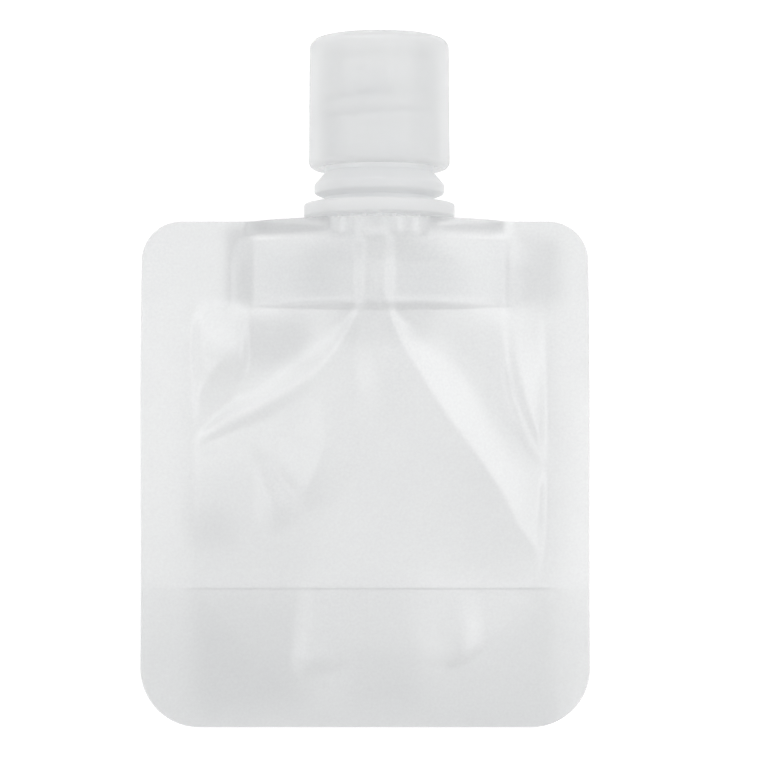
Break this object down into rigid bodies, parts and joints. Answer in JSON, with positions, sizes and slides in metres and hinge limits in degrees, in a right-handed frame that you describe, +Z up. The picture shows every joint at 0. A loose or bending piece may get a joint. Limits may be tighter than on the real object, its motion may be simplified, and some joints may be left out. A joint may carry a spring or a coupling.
{
  "type": "spout pouch",
  "caption": "Frosted stand-up pouch with a folded bottom film, a welded-in moulded spout and a screw cap, lying empty on its back.",
  "frame": {"origin": "under the middle of the object's outline, on the surface that it lies on", "axes": "+Z up out of the front film, +Y along the spout toward the cap's top, +X to the right when the front film is seen with the cap at the top"},
  "size_m": [0.0652, 0.0988, 0.0216],
  "materials": {
    "front_film": "frosted translucent film",
    "back_film": "frosted translucent film",
    "gusset_film": "frosted translucent film",
    "spout": "milky translucent moulding",
    "cap": "milky translucent moulding",
    "plug_liner": "soft white moulding"
  },
  "bodies": {
    "pouch": {"front_film": "front_film", "back_film": "back_film", "gusset_film": "gusset_film", "spout": "spout"},
    "liner": {"plug_liner": "plug_liner"},
    "cap": {"cap": "cap"}
  },
  "joints": [
    {"name": "cap_lift", "type": "slide", "parent": "pouch", "child": "liner", "axis": [0, 1, 0], "range_m": [0, 0.0168]},
    {"name": "cap_turn", "type": "hinge", "parent": "liner", "child": "cap", "pos_m": [0.00205, 0, 0.0108], "axis": [0, 1, 0], "range_deg": [0, 2430]}
  ],
  "couplings": [
    {"joint": "cap_turn", "follows": "cap_lift", "rad_per_m": 2513.3}
  ]
}
